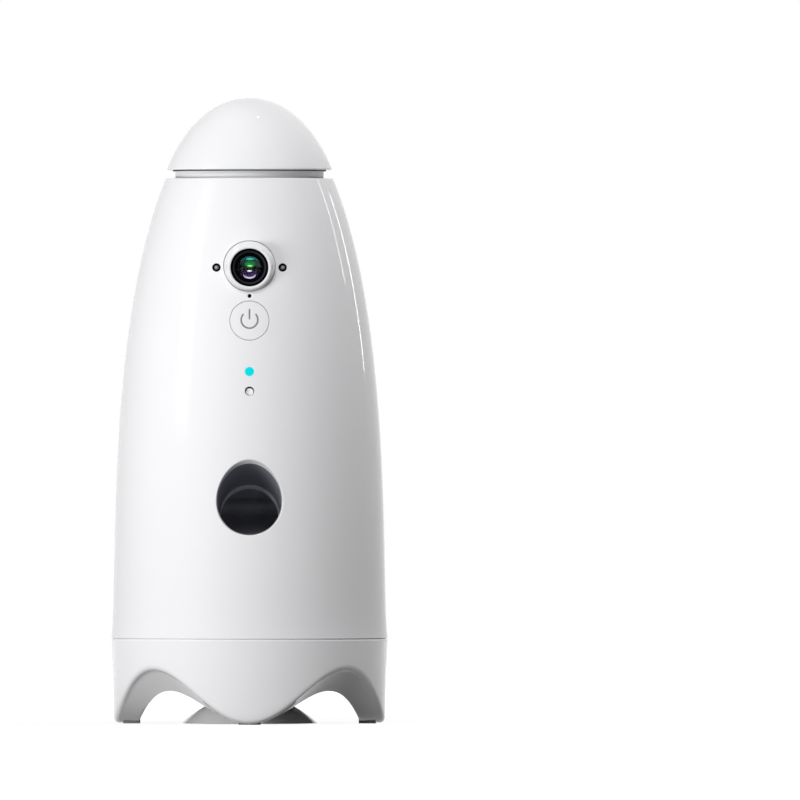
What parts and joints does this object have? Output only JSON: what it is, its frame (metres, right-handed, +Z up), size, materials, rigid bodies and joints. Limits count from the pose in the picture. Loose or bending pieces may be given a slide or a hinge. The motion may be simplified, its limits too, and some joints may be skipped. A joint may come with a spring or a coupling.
{
  "type": "automatic pet feeder with camera",
  "caption": "Tapered white pet treat tosser with a camera: lift-off lid, hopper, metering rotor, paddle launcher, front outlet, buttons, wavy base and suction cup.",
  "frame": {"origin": "centre of the footprint, on the floor", "axes": "+Z up along the body's axis, -Y out of the front where the camera looks, +X to the right as the front is seen"},
  "size_m": [0.115, 0.115, 0.26],
  "materials": {
    "shell_white": "glossy white moulded plastic",
    "inner_white": "satin white moulded plastic",
    "gloss_black": "polished black plastic",
    "dark_plastic": "dark moulded plastic with a fine grain",
    "lens_glass": "coated camera glass",
    "lamp_glass": "clear lamp epoxy",
    "cyan_light": "clear plastic lit from behind in cyan",
    "soft_silicone": "milky soft silicone",
    "dark_rubber": "dark soft rubber",
    "steel": "plain steel",
    "bronze": "sintered bronze",
    "circuit_board": "green solder mask"
  },
  "bodies": {
    "case": {"body_shell": "shell_white", "camera_bezel": "shell_white", "base_shell": "shell_white", "hopper": "inner_white", "metering_tray": "inner_white", "hopper_baffle": "inner_white", "bottom_plate": "inner_white", "status_led": "inner_white", "camera_barrel": "gloss_black", "infrared_rings": "gloss_black", "outlet_chute": "gloss_black", "launcher_housing": "dark_plastic", "launcher_cover": "dark_plastic", "chassis": "dark_plastic", "power_switch": "dark_plastic", "reset_switch": "dark_plastic", "speaker": "dark_plastic", "main_chips": "dark_plastic", "camera_lens": "lens_glass", "infrared_lights": "lamp_glass", "status_light_pipe": "cyan_light", "suction_cup": "soft_silicone", "rubber_feet": "dark_rubber", "microphone_boot": "dark_rubber", "rotor_pin": "steel", "launch_motor": "steel", "metering_motor": "steel", "charging_socket": "steel", "microphone": "steel", "base_screws": "steel", "shell_screws": "steel", "cover_screws": "steel", "launcher_screws": "steel", "board_screws": "steel", "paddle_bush": "bronze", "camera_board": "circuit_board", "front_board": "circuit_board", "main_board": "circuit_board", "charging_board": "circuit_board"},
    "lid": {"lid": "shell_white", "lid_liner": "inner_white", "lid_seal": "soft_silicone"},
    "power_button": {"power_button": "shell_white", "power_key": "dark_plastic"},
    "reset_button": {"reset_button": "shell_white", "reset_key": "dark_plastic"},
    "paddle_wheel": {"paddle_wheel": "dark_plastic", "paddle_shaft": "steel"},
    "rotor": {"metering_rotor": "inner_white"},
    "pinion": {"drive_pinion": "inner_white", "pinion_shaft": "steel"}
  },
  "joints": [
    {"name": "lid_lift", "type": "slide", "parent": "case", "child": "lid", "axis": [0, 0, 1], "range_m": [0, 0.05]},
    {"name": "power_press", "type": "slide", "parent": "case", "child": "power_button", "axis": [0, 1, 0], "range_m": [0, 0.0005], "stiffness_N_per_m": 400},
    {"name": "reset_press", "type": "slide", "parent": "case", "child": "reset_button", "axis": [0, 1, 0], "range_m": [0, 0.0004], "stiffness_N_per_m": 400},
    {"name": "paddle_spin", "type": "hinge", "parent": "case", "child": "paddle_wheel", "pos_m": [0, 0.006, 0.09], "axis": [1, 0, 0], "continuous": true},
    {"name": "rotor_spin", "type": "hinge", "parent": "case", "child": "rotor", "pos_m": [0, 0, 0.13], "axis": [0, 0, 1], "continuous": true},
    {"name": "pinion_spin", "type": "hinge", "parent": "case", "child": "pinion", "pos_m": [-0.033, 0, 0.1255], "axis": [0, 0, 1], "continuous": true}
  ],
  "couplings": [
    {"joint": "pinion_spin", "follows": "rotor_spin", "ratio": -4.5}
  ]
}
